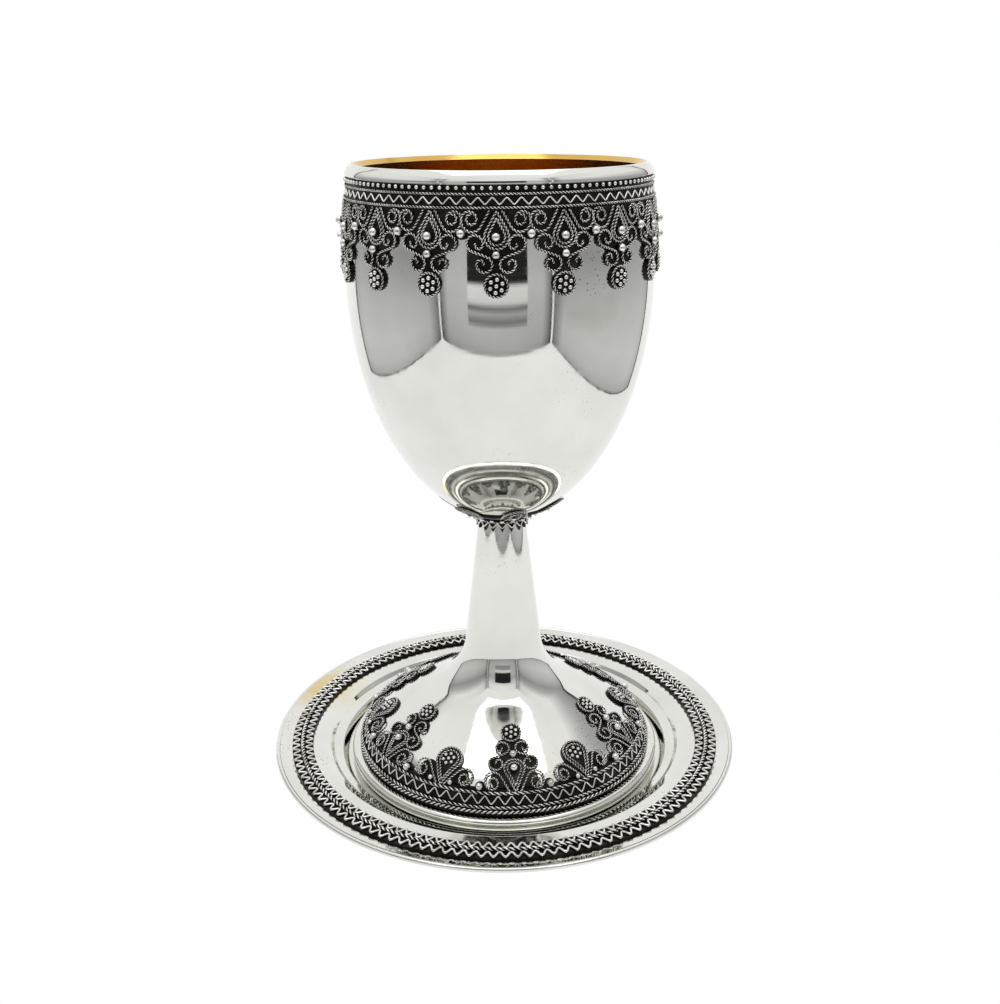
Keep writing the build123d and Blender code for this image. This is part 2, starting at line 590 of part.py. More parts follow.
def make_collar():
    below = bowl_curve()
    stem = foot_curve()
    stem_radius, _ = surface_at(stem, COLLAR_HEIGHT)
    petal_middle = PETAL_REACH - PETAL_ROUND
    petals = Circle(petal_middle - 1)
    for turn in range(PETALS):
        around = Rot(0, 0, PETAL_TURN + turn * 360.0 / PETALS)
        petals += around * Pos(0, -petal_middle) * Circle(PETAL_ROUND)
    petals -= Circle(stem_radius + GROUND + 0.1)
    petal_plate = bowl_shell(0, GROUND) & extrude(
        Pos(0, 0, COLLAR_HEIGHT - 4) * petals, 20)
    half_pitch = math.pi * stem_radius / COLLAR_POINTS
    sleeve_low = COLLAR_HEIGHT - COLLAR_SLEEVE
    point = make_face(Polyline(
        (-half_pitch, sleeve_low + 2), (0, sleeve_low), (half_pitch, sleeve_low + 2), close=True))
    points = extrude(Plane.XZ.offset(stem_radius - 1) * point, 3)
    tool = ring_block(1, stem_radius + 3, sleeve_low + 1.9, COLLAR_HEIGHT) + turned(points, COLLAR_POINTS)
    sleeve = (foot_solid(GROUND) - foot_solid()) & tool
    sleeve -= bowl_solid(GROUND)
    scroll_height = PETAL_SCROLL_HEIGHT
    petal_rings = [spot(below, way * COLLAR_SCROLL_SIDE, scroll_height, LIFT) * Torus(COLLAR_SCROLL, WIRE)
                   for way in (-1, 1)]
    return {
        "collar_petal_plate": petal_plate,
        "collar_sleeve": sleeve,
        "collar_twist_wire": twist_ring(stem, COLLAR_HEIGHT - WIRE - 0.2, WIRE),
        "collar_bead_row": group(turned(granule_on(
            below, 0, COLLAR_BEAD_HEIGHT, GRANULE), COLLAR_BEADS)),
        "collar_zigzag_wire": zigzag(
            stem, COLLAR_HEIGHT - 2, COLLAR_POINTS, COLLAR_SLEEVE - 1.2),
        "collar_scroll_rings": group(
            [copy for shape in petal_rings for copy in turned(shape, PETALS, PETAL_TURN)]),
        "collar_petal_beads": group(turned(granule_on(
            below, 0, PETAL_BEAD_HEIGHT, PETAL_BEAD), PETALS, PETAL_TURN)),
    }


def write(parts, lift=0.0):
    for name, shape in parts.items():
        export_step(Pos(0, 0, lift) * shape, os.path.join("parts", name + ".step"))


os.makedirs("parts", exist_ok=True)
write(make_saucer())
for parts in (make_vessel(), make_bowl_lace(), make_foot_lace(), make_collar()):
    write(parts, SHEET + SEAT_GAP)
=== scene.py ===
import bisect
import math

import bmesh
import bpy
from mathutils import Matrix, Vector


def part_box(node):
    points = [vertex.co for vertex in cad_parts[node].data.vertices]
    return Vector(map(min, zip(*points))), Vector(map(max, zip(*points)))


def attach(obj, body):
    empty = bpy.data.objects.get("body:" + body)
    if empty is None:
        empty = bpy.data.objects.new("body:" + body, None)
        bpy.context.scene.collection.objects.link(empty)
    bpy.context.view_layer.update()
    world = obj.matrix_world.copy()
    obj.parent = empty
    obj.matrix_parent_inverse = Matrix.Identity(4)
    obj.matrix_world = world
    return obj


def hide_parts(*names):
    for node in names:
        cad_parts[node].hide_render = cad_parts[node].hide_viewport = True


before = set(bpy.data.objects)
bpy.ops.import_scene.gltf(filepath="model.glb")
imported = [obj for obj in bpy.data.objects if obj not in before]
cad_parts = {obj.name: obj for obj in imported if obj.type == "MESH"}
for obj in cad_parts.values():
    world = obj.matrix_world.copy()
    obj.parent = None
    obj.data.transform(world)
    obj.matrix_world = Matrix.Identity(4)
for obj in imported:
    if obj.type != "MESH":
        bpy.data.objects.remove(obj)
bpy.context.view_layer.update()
MM = 0.001


# ---------------------------------------------------------------- places read from the frame

def span(node):
    low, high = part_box(node)
    return {"low": low.z, "high": high.z, "radius": (high.x - low.x) / 2}


seat = span("stem_and_foot")["low"]  # underside of the goblet's foot
lip_height = span("bowl")["high"]
bowl_radius = span("bowl")["radius"]
bowl_bottom = span("bowl")["low"]
foot_radius = span("stem_and_foot")["radius"]
stem_top = span("stem_and_foot")["high"]
ring_low = span("lip_ring")["low"]
ring_radius = span("lip_ring")["radius"]
base_high = span("foot_base_ring")["high"]
base_radius = span("foot_base_ring")["radius"]
band_floor = span("saucer_band_ground")["high"]
saucer_radius = span("saucer_plate")["radius"]
rim_height = span("saucer_plate")["high"]

SHEET = 1.0 * MM
GROUND = 0.5 * MM  # dark sheet under the wires
BOWL_WIDEST = seat + 125.0 * MM
BOWL_RISE = 66.0 * MM  # half height of the ellipse the bowl's upper side follows
BOWL_WALL = 0.9 * MM
LINING = 0.3 * MM
FLARE = 1.1 * MM  # how far down the gilt lip opens out
FOOT_WALL = 0.9 * MM
BASE_ROUND = 1.2 * MM  # round on the ring under the foot
RIM_ROUND = 0.7 * MM  # round at each bend of the saucer
BOWL_MOTIFS = 16
BOWL_TURN = math.radians(-1.3)
FOOT_MOTIFS = 6
FOOT_TURN = math.radians(4.0)


# ---------------------------------------------------------------- drawing aids

def arc(centre, radius, start, stop, steps):
    """Points of a circle in the drawing plane, angles in degrees."""
    turns = [math.radians(start + (stop - start) * i / steps) for i in range(steps + 1)]
    return [(centre[0] + radius * math.cos(t), centre[1] + radius * math.sin(t)) for t in turns]


def oval(radius, rise, start, stop, steps):
    """Points of an ellipse round the bowl's widest circle, angles in radians."""
    turns = [start + (stop - start) * i / steps for i in range(steps + 1)]
    return [(radius * math.cos(t), BOWL_WIDEST + rise * math.sin(t)) for t in turns]


def bowl_line(offset, top=None):
    """Radius and height of the bowl's outer face, moved out by offset, from the bottom up."""
    drop = BOWL_WIDEST - bowl_bottom + offset
    rise = BOWL_RISE + offset
    climb = math.asin(((top or lip_height) - BOWL_WIDEST) / rise)
    lower = oval(bowl_radius + offset, drop, -math.pi / 2, 0, 60)
    return lower + oval(bowl_radius + offset, rise, 0, climb, 16)[1:]


def rounded_corner(start, corner, end, radius, steps=16):
    """Points of a round between two straight lines that meet at corner."""
    a = (Vector(start) - Vector(corner)).normalized()
    b = (Vector(end) - Vector(corner)).normalized()
    half = a.angle(b) / 2
    reach = radius / math.tan(half)
    middle = Vector(corner) + (a + b).normalized() * (radius / math.sin(half))
    first = Vector(corner) + a * reach - middle
    last = Vector(corner) + b * reach - middle
    turn = first.angle_signed(last)
    points = []
    for i in range(steps + 1):
        t = -turn * i / steps
        spun = Vector((
            first.x * math.cos(t) - first.y * math.sin(t),
            first.x * math.sin(t) + first.y * math.cos(t),
        ))
        points.append(tuple(middle + spun))
    return points


def smooth_line(corners, rounds):
    """A line of straight runs with a round at each inner corner."""
    line = [corners[0]]
    for i, radius in enumerate(rounds):
        line += rounded_corner(corners[i], corners[i + 1], corners[i + 2], radius)
    return line + [corners[-1]]


def foot_line():
    """Radius and height of the foot and stem's outer face, from the bottom up."""
    return smooth_line(
        [
            (foot_radius, seat),
            (35.5 * MM, seat + 8.7 * MM),
            (10.6 * MM, seat + 24.0 * MM),
            (5.6 * MM, stem_top),
        ],
        [10.0 * MM, 16.0 * MM],
    )


def moved_out(line, offset):
    """The line moved sideways by offset: positive is away from the axis."""
    out = []
    for i, (r, z) in enumerate(line):
        before, after = line[max(i - 1, 0)], line[min(i + 1, len(line) - 1)]
        dr, dz = after[0] - before[0], after[1] - before[1]
        length = math.hypot(dr, dz)
        out.append((r + dz / length * offset, z - dr / length * offset))
    return out


def dense(line, step):
    """The same line with a point at least every step."""
    out = [line[0]]
    for a, b in zip(line, line[1:]):
        count = max(1, math.ceil(math.dist(a, b) / step))
        out += [(a[0] + (b[0] - a[0]) * i / count, a[1] + (b[1] - a[1]) * i / count)
                for i in range(1, count + 1)]
    return out


class Skin:
    """A round surface that carries filigree. Places on it are millimetres sideways and
    millimetres up its profile from its bottom edge."""

    def __init__(self, line):
        self.line = dense(line, 0.25 * MM)
        self.run = [0.0]
        for a, b in zip(self.line, self.line[1:]):
            self.run.append(self.run[-1] + math.dist(a, b))
        self.heights = [z for _, z in self.line]

    def up(self, height):
        """Distance up the profile, in millimetres, of a height above the foot's underside."""
        i = bisect.bisect_left(self.heights, seat + height * MM)
        below, above = self.heights[i - 1], self.heights[i]
        part = (seat + height * MM - below) / (above - below)
        return (self.run[i - 1] + (self.run[i] - self.run[i - 1]) * part) / MM

    def at(self, up):
        """Radius, height and outward direction at a distance up the profile."""
        want = up * MM
        i = min(max(bisect.bisect_right(self.run, want) - 1, 0), len(self.line) - 2)
        length = self.run[i + 1] - self.run[i]
        part = (want - self.run[i]) / length
        (r0, z0), (r1, z1) = self.line[i], self.line[i + 1]
        outward = ((z1 - z0) / length, (r0 - r1) / length)
        return r0 + (r1 - r0) * part, z0 + (z1 - z0) * part, outward

    def point(self, side, up, lift, turn=0.0):
        """A place lifted off the skin, all in millimetres, at a turn in radians round the axis."""
        r, z, (out, rise) = self.at(up)
        angle = turn + side * MM / r
        far = r + out * lift * MM
        return Vector((far * math.sin(angle), -far * math.cos(angle), z + rise * lift * MM))


# ---------------------------------------------------------------- materials

def linear(code):
    """A linear colour from an sRGB hex code."""
    parts = [int(code[i:i + 2], 16) / 255 for i in (1, 3, 5)]
    return [c / 12.92 if c <= 0.04045 else ((c + 0.055) / 1.055) ** 2.4 for c in parts] + [1.0]


def add(tree, kind, stops=(), settings=(), **inputs):
    """Adds a node with its settings, its ramp's stops and its inputs, linked or set.
    An input's name has _ for a space, or is i and its number."""
    node = tree.nodes.new("ShaderNode" + kind)
    for key, value in dict(settings).items():
        setattr(node, key, value)
    for i, (position, colour) in enumerate(stops):
        elements = node.color_ramp.elements
        element = elements[i] if i < 2 else elements.new(position)
        element.position = position
        element.color = linear(colour) if isinstance(colour, str) else (colour, colour, colour, 1)
    for name, value in inputs.items():
        number = name[0] == "i" and name[1:].isdigit()
        socket = node.inputs[int(name[1:]) if number else name.replace("_", " ")]
        if isinstance(value, bpy.types.NodeSocket):
            tree.links.new(value, socket)
        else:
            socket.default_value = value
    return node.outputs[2] if kind == "Mix" else node.outputs[0]


def metal(name, metallic=1.0):
    """An empty metal: its material, node tree, shader and place on the object."""
    material = bpy.data.materials.new(name)
    material.use_nodes = True
    tree = material.node_tree
    shader = tree.nodes["Principled BSDF"]
    shader.inputs["Metallic"].default_value = metallic
    where = tree.nodes.new("ShaderNodeTexCoord").outputs["Object"]
    place = add(tree, "Mapping", Vector=where, Location=(0, 0, -seat))
    return material, tree, shader, place


def joined(tree, shader, colour, rough, bump=None):
    """Links the finished colour, roughness and bump to the shader."""
    tree.links.new(colour, shader.inputs["Base Color"])
    tree.links.new(rough, shader.inputs["Roughness"])
    if bump is not None:
        tree.links.new(bump, shader.inputs["Normal"])


COLOUR_MIX = {"data_type": "RGBA"}
COLOUR_MULTIPLY = {"data_type": "RGBA", "blend_type": "MULTIPLY"}


def polished_silver(name="sterling silver polished", tarnish=None):
    """Sterling silver, spun and polished: mirror bright, a little wavy, with hair scratches,
    black pin pits left in patches and yellow tarnish in a few clouds."""
    material, tree, shader, place = metal(name)
    clouds = add(tree, "TexNoise", Vector=place, Scale=45, Detail=4)
    stops = ((0.3, "#D8D8D2"), (0.6, "#E5E5E0"), (0.85, "#D3D2C9"))
    base = add(tree, "ValToRGB", stops, Fac=clouds)
    stain = add(tree, "TexNoise", Vector=place, Scale=16, Detail=5, Roughness=0.6)
    stained = add(tree, "ValToRGB", ((0.62, 0.0), (0.80, 0.6)), Fac=stain)
    base = add(tree, "Mix", settings=COLOUR_MIX, i0=stained, i6=base, i7=linear("#DCCBA0"))
    if tarnish:
        reach = 1 / (15 * MM)
        near = add(tree, "Mapping", Vector=place, Location=[-x * reach for x in tarnish],
                   Scale=[reach] * 3)
        near = add(tree, "TexGradient", settings={"gradient_type": "SPHERICAL"}, Vector=near)
        spots = add(tree, "TexNoise", Vector=place, Scale=220, Detail=5, Roughness=0.7)
        spots = add(tree, "ValToRGB", ((0.35, 0.35), (0.65, 1.0)), Fac=spots)
        near = add(tree, "Mix", settings=COLOUR_MULTIPLY, i0=1.0, i6=near, i7=spots)
        near = add(tree, "ValToRGB", ((0.05, 0.0), (0.5, 0.9)), Fac=near)
        base = add(tree, "Mix", settings=COLOUR_MIX, i0=near, i6=base, i7=linear("#DCC893"))
    cells = add(tree, "TexVoronoi", Vector=place, Scale=1100)  # pits about 0.3 mm wide
    pits = add(tree, "ValToRGB", ((0.10, 1.0), (0.22, 0.0)), Fac=cells)
    patches = add(tree, "TexNoise", Vector=place, Scale=42, Detail=4)
    patches = add(tree, "ValToRGB", ((0.56, 0.0), (0.66, 1.0)), Fac=patches)
    pitted = add(tree, "Mix", settings=COLOUR_MULTIPLY, i0=1.0, i6=pits, i7=patches)
    base = add(tree, "Mix", settings=COLOUR_MIX, i0=pitted, i6=base, i7=linear("#4A463C"))
    drawn = add(tree, "Mapping", Vector=place, Scale=(0.25, 0.25, 14))
    lines = add(tree, "TexNoise", Vector=drawn, Scale=60, Detail=2)
    rough = add(tree, "ValToRGB", ((0.35, 0.035), (0.75, 0.10)), Fac=lines)
    waves = add(tree, "TexNoise", Vector=place, Scale=28, Detail=1)
    bump = add(tree, "Bump", Height=waves, Strength=0.2, Distance=0.0004)
    bump = add(tree, "Bump", Height=lines, Strength=0.04, Distance=0.00008, Normal=bump)
    joined(tree, shader, base, rough, bump)
    return material


def silver_wire():
    """Sterling silver wire, twisted: bright on its crowns, with painted shade, near black, down in
    the twist between the strands, and specks of dirt.
    """
    material, tree, shader, place = metal("sterling silver twisted wire")
    groove_shade = tree.nodes.new("ShaderNodeAttribute")
    groove_shade.attribute_name = "groove_shade"
    worn = add(tree, "TexNoise", Vector=place, Scale=260, Detail=3)
    bright = add(tree, "ValToRGB", ((0.3, "#D2CFC4"), (0.55, "#FBFAF6")), Fac=worn)
    dirt = add(tree, "ValToRGB", ((0.35, 0.2), (0.6, 0.0)), Fac=worn)
    # painted shade: the groove attribute darkens the hollows between the strands, and random dirt
    # is added on top
    depth = add(tree, "Math", settings={"operation": "ADD"}, i0=groove_shade.outputs["Fac"], i1=dirt)
    shade_and_dirt = add(tree, "ValToRGB", ((0.42, 0.0), (0.82, 1.0)), Fac=depth)
    colour = add(tree, "Mix", settings=COLOUR_MIX, i0=shade_and_dirt, i6=bright, i7=linear("#1B1A16"))
    rough = add(tree, "ValToRGB", ((0.3, 0.16), (0.9, 0.55)), Fac=depth)
    joined(tree, shader, colour, rough)
    return material


def silver_granule():
    """Sterling silver granules: small bright balls with greyer, duller spots."""
    material, tree, shader, place = metal("sterling silver granule")
    worn = add(tree, "TexNoise", Vector=place, Scale=500, Detail=3)
    colour = add(tree, "ValToRGB", ((0.3, "#BFBCB2"), (0.6, "#F4F3EF")), Fac=worn)
    rough = add(tree, "ValToRGB", ((0.3, 0.22), (0.7, 0.09)), Fac=worn)
    joined(tree, shader, colour, rough)
    return material


def oxidised_silver():
    """Oxidised silver: liver-black sheet with grey rubbed spots, matt and a little grainy."""
    material, tree, shader, place = metal("oxidised silver", 0.9)
    patch = add(tree, "TexNoise", Vector=place, Scale=170, Detail=5, Roughness=0.6)
    stops = ((0.3, "#14130F"), (0.55, "#25231E"), (0.8, "#4B473D"))
    colour = add(tree, "ValToRGB", stops, Fac=patch)
    fine = add(tree, "TexNoise", Vector=place, Scale=900, Detail=4)
    rough = add(tree, "ValToRGB", ((0.3, 0.34), (0.7, 0.6)), Fac=fine)
    bump = add(tree, "Bump", Height=fine, Strength=0.3, Distance=0.00005)
    joined(tree, shader, colour, rough, bump)
    return material


def gilt():
    """Gilt: deep orange gold inside the bowl, polished round in fine lines."""
    material, tree, shader, place = metal("gilt")
    cloud = add(tree, "TexNoise", Vector=place, Scale=40, Detail=4)
    stops = ((0.3, "#D2AA5A"), (0.6, "#E2BC6C"), (0.85, "#C89C4C"))
    colour = add(tree, "ValToRGB", stops, Fac=cloud)
    drawn = add(tree, "Mapping", Vector=place, Scale=(0.3, 0.3, 30))
    lines = add(tree, "TexNoise", Vector=drawn, Scale=50, Detail=2)
    rough = add(tree, "ValToRGB", ((0.3, 0.14), (0.7, 0.24)), Fac=lines)
    bump = add(tree, "Bump", Height=lines, Strength=0.06, Distance=0.0001)
    joined(tree, shader, colour, rough, bump)
    return material


def turned_brass():
    """Turned brass: dull yellow with tool rings, on the hidden fixing."""
    material, tree, shader, place = metal("turned brass")
    drawn = add(tree, "Mapping", Vector=place, Scale=(1, 1, 20))
    rings = add(tree, "TexNoise", Vector=drawn, Scale=90, Detail=3, Roughness=0.6)
    colour = add(tree, "ValToRGB", ((0.3, "#8E7436"), (0.7, "#C3A35A")), Fac=rings)
    rough = add(tree, "ValToRGB", ((0.3, 0.3), (0.7, 0.5)), Fac=rings)
    bump = add(tree, "Bump", Height=rings, Strength=0.1, Distance=0.0001)
    joined(tree, shader, colour, rough, bump)
    return material


SILVER = polished_silver()
SAUCER_SILVER = polished_silver(
    "sterling silver polished and tarnished", (-52 * MM, 23 * MM, 5 * MM))
WIRE_SILVER = silver_wire()
GRANULE_SILVER = silver_granule()
OXIDE = oxidised_silver()
GILT = gilt()
BRASS = turned_brass()


# ---------------------------------------------------------------- pieces

def new_piece(name, mesh, material, body, slot, *nodes):
    """A finished mesh at the origin that rides on a body and stands for some frame nodes."""
    piece = bpy.data.objects.new(name, mesh)
    bpy.context.scene.collection.objects.link(piece)
    mesh.materials.clear()
    mesh.materials.append(material)
    for polygon in mesh.polygons:
        polygon.use_smooth = True
    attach(piece, body)
    if nodes:
        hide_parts(*nodes)
    return piece


def spun_mesh(name, outline, segments=256, closed=True):
    """A profile of radius and height spun a full turn round the axis."""
    bm = bmesh.new()
    points = [bm.verts.new((max(r, 0.0), 0.0, z)) for r, z in outline]
    for a, b in zip(points, points[1:]):
        bm.edges.new((a, b))
    if closed:
        bm.edges.new((points[-1], points[0]))
    bmesh.ops.spin(
        bm, geom=bm.verts[:] + bm.edges[:], cent=(0, 0, 0), axis=(0, 0, 1), dvec=(0, 0, 0),
        angle=2 * math.pi, steps=segments, use_merge=True)
    bmesh.ops.remove_doubles(bm, verts=bm.verts, dist=1e-6)
    bmesh.ops.dissolve_degenerate(bm, dist=1e-7, edges=bm.edges)
    bmesh.ops.recalc_face_normals(bm, faces=bm.faces)
    mesh = bpy.data.meshes.new(name)
    bm.to_mesh(mesh)
    bm.free()
    return mesh


def sharp_by_angle(mesh, degrees=35):
    """Keeps a crease where two faces meet at more than this angle."""
    bm = bmesh.new()
    bm.from_mesh(mesh)
    for edge in bm.edges:
        if len(edge.link_faces) == 2 and edge.calc_face_angle() > math.radians(degrees):
            edge.smooth = False
    bm.to_mesh(mesh)
    bm.free()


def make_bodies():
    """The polished pieces, spun finely so that they mirror cleanly."""
    outer, inner = bowl_line(0), bowl_line(-BOWL_WALL, lip_height - FLARE)
    gold = bowl_line(-BOWL_WALL - LINING, lip_height - FLARE)
    inner.append((inner[-1][0] + 0.5 * MM, lip_height))
    edge = gold[-1][0]
    gold += [(edge + 0.3 * MM, lip_height - 0.6 * FLARE), (edge + 0.7 * MM, lip_height)]
    bowl = spun_mesh("bowl_body", outer + inner[::-1])
    lining = spun_mesh("bowl_lining", inner + gold[::-1])
    lip_inside = bowl_line(0)[-1][0]
    wall_low = [r for r, z in bowl_line(0) if z <= ring_low][-1]
    lip = lip_inside + 0.6 * MM
    crease = (ring_radius - 0.35 * MM, ring_low + 1.25 * MM)
    ring = [(wall_low - 0.05 * MM, ring_low), (ring_radius - 0.12 * MM, ring_low)]
    ring += arc((ring_radius - 0.12 * MM, ring_low + 0.12 * MM), 0.12 * MM, -90, 0, 4)[1:]
    ring += [(ring_radius - 0.03 * MM, ring_low + 0.6 * MM), crease]
    ring += [(crease[0] - 0.25 * MM, crease[1] + 0.5 * MM)]
    ring += [(lip + 0.15 * MM, lip_height - 0.25 * MM)]
    ring += [(lip + 0.02 * MM, lip_height - 0.06 * MM), (lip - 0.1 * MM, lip_height)]
    ring += [(lip_inside - 0.05 * MM, lip_height)]
    lip_mesh = spun_mesh("lip_ring_body", ring)
    outside = dense(foot_line(), 1.2 * MM)
    inside = [(max(r, 0.4 * MM), z) for r, z in moved_out(outside, -FOOT_WALL)]
    trumpet = spun_mesh("stem_and_foot_body", outside + inside[::-1])
    shoulder = base_radius - BASE_ROUND
    base = [(foot_radius - 1.0 * MM, seat), (shoulder, seat)]
    base += arc((shoulder, seat + BASE_ROUND), BASE_ROUND, -90, 0, 12)[1:]
    base += arc((shoulder, base_high - BASE_ROUND), BASE_ROUND, 0, 90, 12)
    base += [(foot_radius - 1.4 * MM, base_high)]
    base_mesh = spun_mesh("foot_base_ring_body", base)
    silver = "polished_silver"
    new_piece("bowl_body", bowl, SILVER, "goblet", silver, "bowl")
    new_piece("bowl_lining", lining, GILT, "goblet", "gilt", "gilt_lining")
    new_piece("lip_ring_body", lip_mesh, SILVER, "goblet", silver, "lip_ring")
    new_piece("stem_and_foot_body", trumpet, SILVER, "goblet", silver, "stem_and_foot")
    new_piece("foot_base_ring_body", base_mesh, SILVER, "goblet", silver, "foot_base_ring")
    for mesh in (bowl, lining, lip_mesh, trumpet, base_mesh):
        sharp_by_angle(mesh)


def make_saucer():
    """Pressed saucer: floor, stepped wall, flat for the band, and a raised rim."""
    side = [
        (0.0, SHEET), (41.7 * MM, SHEET), (42.8 * MM, 3.5 * MM), (45.1 * MM, 4.0 * MM),
        (46.0 * MM, 5.2 * MM), (47.9 * MM, 6.0 * MM),
        (50.4 * MM, 5.6 * MM), (56.2 * MM, 5.6 * MM), (saucer_radius, rim_height),
    ]
    rounds = [RIM_ROUND] * (len(side) - 2)
    upper = dense(smooth_line(side, rounds), 2.0 * MM)
    lower = [(r, z - SHEET) for r, z in upper]
    plate = spun_mesh("saucer_body", upper + lower[::-1], 320)
    sharp_by_angle(plate, 50)
    new_piece("saucer_body", plate, SAUCER_SILVER, "saucer", "polished_silver", "saucer_plate")
    edge = span("saucer_edge_wire")
    wire = (edge["high"] - edge["low"]) / 2
    middle = (edge["radius"] - wire, (edge["high"] + edge["low"]) / 2)
    rim = spun_mesh("saucer_rolled_rim", arc(middle, wire, 0, 345, 23), 320)
    new_piece("saucer_rolled_rim", rim, SILVER, "saucer", "polished_silver", "saucer_edge_wire")


# ---------------------------------------------------------------- filigree wires

WIRE = 0.31  # half the width of a twisted pair, in millimetres
TWIST = 0.78  # along a wire from one strand to the next
SOLDER = 0.08  # how deep a wire or a granule sinks into what is under it
FOLDED = 0.3  # half the width of the plain wire folded on the saucer
SAUCER_FOLDS = 128
FOLD_STEPS = 12  # points along one fold
STEPS = 4  # points along one strand


def stroke(start, heading, *moves):
    """A wire's line on the skin. Each move is (0, length) or (radius, degrees to the left)."""
    x, y = start
    angle = math.radians(heading)
    points = [(x, y)]
    for radius, amount in moves:
        turn = math.radians(amount) if radius else 0.0
        length = abs(turn) * radius if radius else amount
        count = max(2, round(length / TWIST * STEPS))
        for _ in range(count):
            angle += turn / count / 2
            x += math.cos(angle) * length / count
            y += math.sin(angle) * length / count
            angle += turn / count / 2
            points.append((x, y))
    return points, False


def loop(centre, radius):
    """A closed ring of wire."""
    count = round(2 * math.pi * radius / TWIST * STEPS)
    ring = arc((0, 0), radius, 0, 360, count)[:-1]
    return [(x + centre[0], y + centre[1]) for x, y in ring], True


def tear(centre, radius, tip):
    """A drop of wire from its tip below, round a bead at centre and back to the tip."""
    lean = math.degrees(math.acos(radius / tip))
    run = math.sqrt(tip * tip - radius * radius)
    start = (centre[0] + 0.15, centre[1] - tip)
    return stroke(start, lean, (0, run), (radius, 360 - 2 * lean), (0, run))


def scroll(start, heading, run, radius):
    """A run up beside the drop, over the top, down the outer side and curled in."""
    return stroke(
        start, heading, (0, run), (radius, -heading - 90), (0, 0.4), (radius * 0.74, -180),
        (radius * 0.5, -235), (radius * 0.3, -60))


def double_curl(low, low_radius, high, high_radius):
    """Two strokes that make one S: out of one curl, across, and into the other."""
    gap = Vector(high) - Vector(low)
    both = low_radius + high_radius
    heading = math.atan2(gap.y, gap.x) + math.asin(both / gap.length)
    run = math.sqrt(gap.length_squared - both * both) / 2
    along = Vector((math.cos(heading), math.sin(heading)))
    middle = Vector(low) + Vector((along.y, -along.x)) * low_radius + along * run
    up = math.degrees(heading)
    first = stroke(middle, up, (0, run), (high_radius, -262), (high_radius * 0.45, -190))
    second = stroke(middle, up + 180, (0, run), (low_radius, -272), (low_radius * 0.45, -190))
    return [first, second]


def both_sides(strokes):
    """The strokes and their mirror images."""
    return strokes + [([(-x, y) for x, y in points], closed) for points, closed in strokes]


def placed(strokes, up, way):
    """Strokes drawn from a motif's middle, moved up the skin; way -1 hangs them down."""
    return [([(x, up + way * y) for x, y in points], closed) for points, closed in strokes]


def around(count, start=0.0):
    return [start + 2 * math.pi * i / count for i in range(count)]


def wire_mesh(name, lines, thickness, twist=TWIST, way=1):
    """Twisted wires along lines of points, as one mesh. The section is two strands side by side
    and turns as it goes along, and a point attribute holds how deep a point lies between the
    strands, which the wire's material paints as shade.
    A twist of 0 gives one plain round wire."""
    curve = bpy.data.curves.new(name, "CURVE")
    curve.dimensions = "3D"
    curve.twist_mode = "MINIMUM"
    curve.use_fill_caps = True
    for points, closed in lines:
        spline = curve.splines.new("POLY")
        spline.points.add(len(points) - 1)
        spline.use_cyclic_u = closed
        ends = points + points[:1] if closed else points
        length = sum((b - a).length for a, b in zip(ends, ends[1:]))
        strands = 2 * max(1, round(length / twist / MM / 2)) if twist else 0
        run = 0.0
        for i, point in enumerate(points):
            run += (point - points[max(i - 1, 0)]).length
            spline.points[i].co = (*point, 1.0)
            spline.points[i].tilt = way * (math.pi * strands * run / length % (2 * math.pi))
    lobe = thickness * MM / 2
    side = [(lobe * (0.95 + math.cos(a)), lobe * 1.08 * math.sin(a))
            for a in (math.radians(degrees) for degrees in (-125, -45, 45, 125))]
    if not twist:
        side = arc((0, 0), thickness * MM, -67.5, 67.5, 3)
    section = bpy.data.curves.new(name + "_section", "CURVE")
    outline = section.splines.new("POLY")
    ring = side + [(-x, -y) for x, y in side]
    outline.points.add(len(ring) - 1)
    outline.use_cyclic_u = True
    for target, (x, y) in zip(outline.points, ring):
        target.co = (x, y, 0, 1)
    holder = bpy.data.objects.new(name + "_section", section)
    made = bpy.data.objects.new(name + "_curve", curve)
    curve.bevel_mode = "OBJECT"
    curve.bevel_object = holder
    for part in (holder, made):
        bpy.context.scene.collection.objects.link(part)
    bpy.context.view_layer.update()
    mesh = bpy.data.meshes.new_from_object(
        made.evaluated_get(bpy.context.evaluated_depsgraph_get()))
    mesh.name = name
    for part in (holder, made):
        bpy.data.objects.remove(part)
    # painted shade: each point of the section gets how deep it lies between the strands, and the
    # wire's material darkens it by that much
    depth = mesh.attributes.new("groove_shade", "FLOAT", "POINT")
    deep = [1.0, 0.12, 0.12, 1.0] * 2 if twist else [0.2] * 8
    depth.data.foreach_set("value", [deep[i % 8] for i in range(len(mesh.vertices))])
    return mesh


def lay(name, skin, strokes, turns, body, *nodes, thickness=WIRE, twist=TWIST, way=1):
    """Lays strokes on a skin at each turn round the axis, as one piece of twisted wire."""
    lift = GROUND / MM + thickness - SOLDER
    lines = [([skin.point(x, y, lift, turn) for x, y in points], closed)
             for turn in turns for points, closed in strokes]
    mesh = wire_mesh(name, lines, thickness, twist, way)
    return new_piece(name, mesh, WIRE_SILVER, body, "filigree_silver", *nodes)


def ring_wire(name, node, thick, twist, body, stood_for):
    """A twisted wire ring where the frame has a plain one."""
    radius = node["radius"] - thick * MM
    height = (node["high"] + node["low"]) / 2
    count = round(2 * math.pi * radius / MM / twist * STEPS)
    points = [Vector((x, y, height)) for x, y in arc((0, 0), radius, 0, 360, count)[:-1]]
    mesh = wire_mesh(name, [(points, True)], thick, twist)
    new_piece(name, mesh, WIRE_SILVER, body, "filigree_silver", stood_for)


def hoop(skin, up, twist=TWIST):
    """A ring right round the axis."""
    length = 2 * math.pi * skin.at(up)[0] / MM
    count = round(length / twist * STEPS)
    return [([(length * i / count, up) for i in range(count)], True)]


